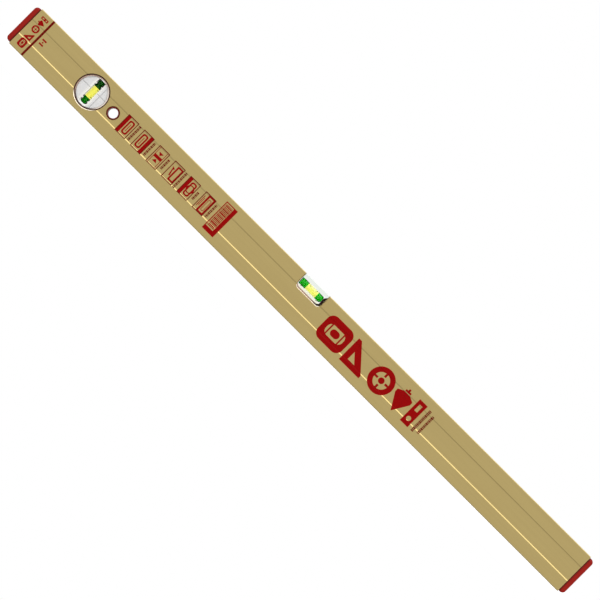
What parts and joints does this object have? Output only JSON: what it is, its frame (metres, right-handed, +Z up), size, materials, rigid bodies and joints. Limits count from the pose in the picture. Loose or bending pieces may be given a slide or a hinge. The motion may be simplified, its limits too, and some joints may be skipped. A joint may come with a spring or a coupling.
{
  "type": "spirit level",
  "caption": "Box-section aluminium spirit level with a level vial in a top notch, a plumb vial in a round window, a hanging hole and moulded end caps.",
  "frame": {"origin": "middle of the lower measuring face", "axes": "+X along the level towards the end away from the plumb vial, +Y through its thickness from the printed front to the back, +Z up from the lower measuring face"},
  "size_m": [0.8, 0.02, 0.0484],
  "materials": {
    "gold_anodised": "satin",
    "red_plastic": "satin",
    "dark_red_plastic": "satin",
    "clear_acrylic": "polished",
    "green_plastic": "gloss",
    "yellow_liquid": "gloss",
    "air": "gloss",
    "black_print": "matte",
    "white_plastic": "satin",
    "off_white_plastic": "satin",
    "black_resin": "gloss",
    "clear_resin": "gloss"
  },
  "bodies": {
    "level_body": {"profile": "gold_anodised", "end_cap_left": "red_plastic", "end_cap_right": "red_plastic", "hanging_hole_bush": "dark_red_plastic", "level_cover": "clear_acrylic", "level_potting": "black_resin", "level_carrier": "white_plastic", "plumb_holder_front": "off_white_plastic", "plumb_holder_back": "off_white_plastic", "plumb_glue": "clear_resin", "plumb_ring_front": "dark_red_plastic", "plumb_ring_back": "dark_red_plastic", "level_vial_tube": "clear_acrylic", "level_vial_plug": "clear_acrylic", "level_plug_collar": "green_plastic", "level_round_collar": "green_plastic", "level_liquid": "yellow_liquid", "level_mark_left": "black_print", "level_mark_right": "black_print", "plumb_vial_tube": "clear_acrylic", "plumb_vial_plug": "clear_acrylic", "plumb_plug_collar": "green_plastic", "plumb_round_collar": "green_plastic", "plumb_liquid": "yellow_liquid", "plumb_mark_upper": "black_print", "plumb_mark_lower": "black_print"},
    "level_bubble_body": {"level_bubble": "air"},
    "plumb_bubble_body": {"plumb_bubble": "air"}
  },
  "joints": [
    {"name": "level_bubble_slide", "type": "slide", "parent": "level_body", "child": "level_bubble_body", "axis": [1, 0, 0], "range_m": [-0.0069, 0.0069], "stiffness_N_per_m": 0.5, "deforming": ["level_liquid"]},
    {"name": "plumb_bubble_slide", "type": "slide", "parent": "level_body", "child": "plumb_bubble_body", "axis": [0, 0, 1], "range_m": [-0.0196, 0], "stiffness_N_per_m": 0.5, "springref_m": 0.004, "deforming": ["plumb_liquid"]}
  ]
}
